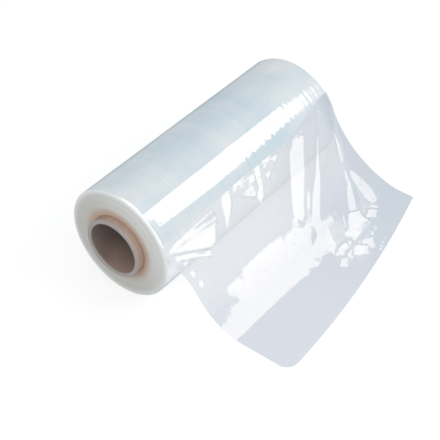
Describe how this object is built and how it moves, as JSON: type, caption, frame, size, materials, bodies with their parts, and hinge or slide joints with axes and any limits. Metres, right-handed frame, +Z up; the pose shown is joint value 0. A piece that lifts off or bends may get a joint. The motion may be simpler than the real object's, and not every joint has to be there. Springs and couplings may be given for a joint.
{
  "type": "stretch wrap roll",
  "caption": "Roll of clear stretch film on a paper core, lying on its side, with its free end drawn off over the table in soft folds.",
  "frame": {"origin": "middle of the core's bore, half way along the roll", "axes": "+Y along the bore, +X towards the side where the film is drawn off, +Z up; the table is at the lowest Z"},
  "size_m": [0.227, 0.2735, 0.1067],
  "materials": {
    "paper_core": "matte",
    "wound_film": "glossy",
    "loose_film": "glossy"
  },
  "bodies": {
    "root": {"cardboard_core": "paper_core", "wound_film": "wound_film", "loose_film": "loose_film"}
  },
  "joints": []
}
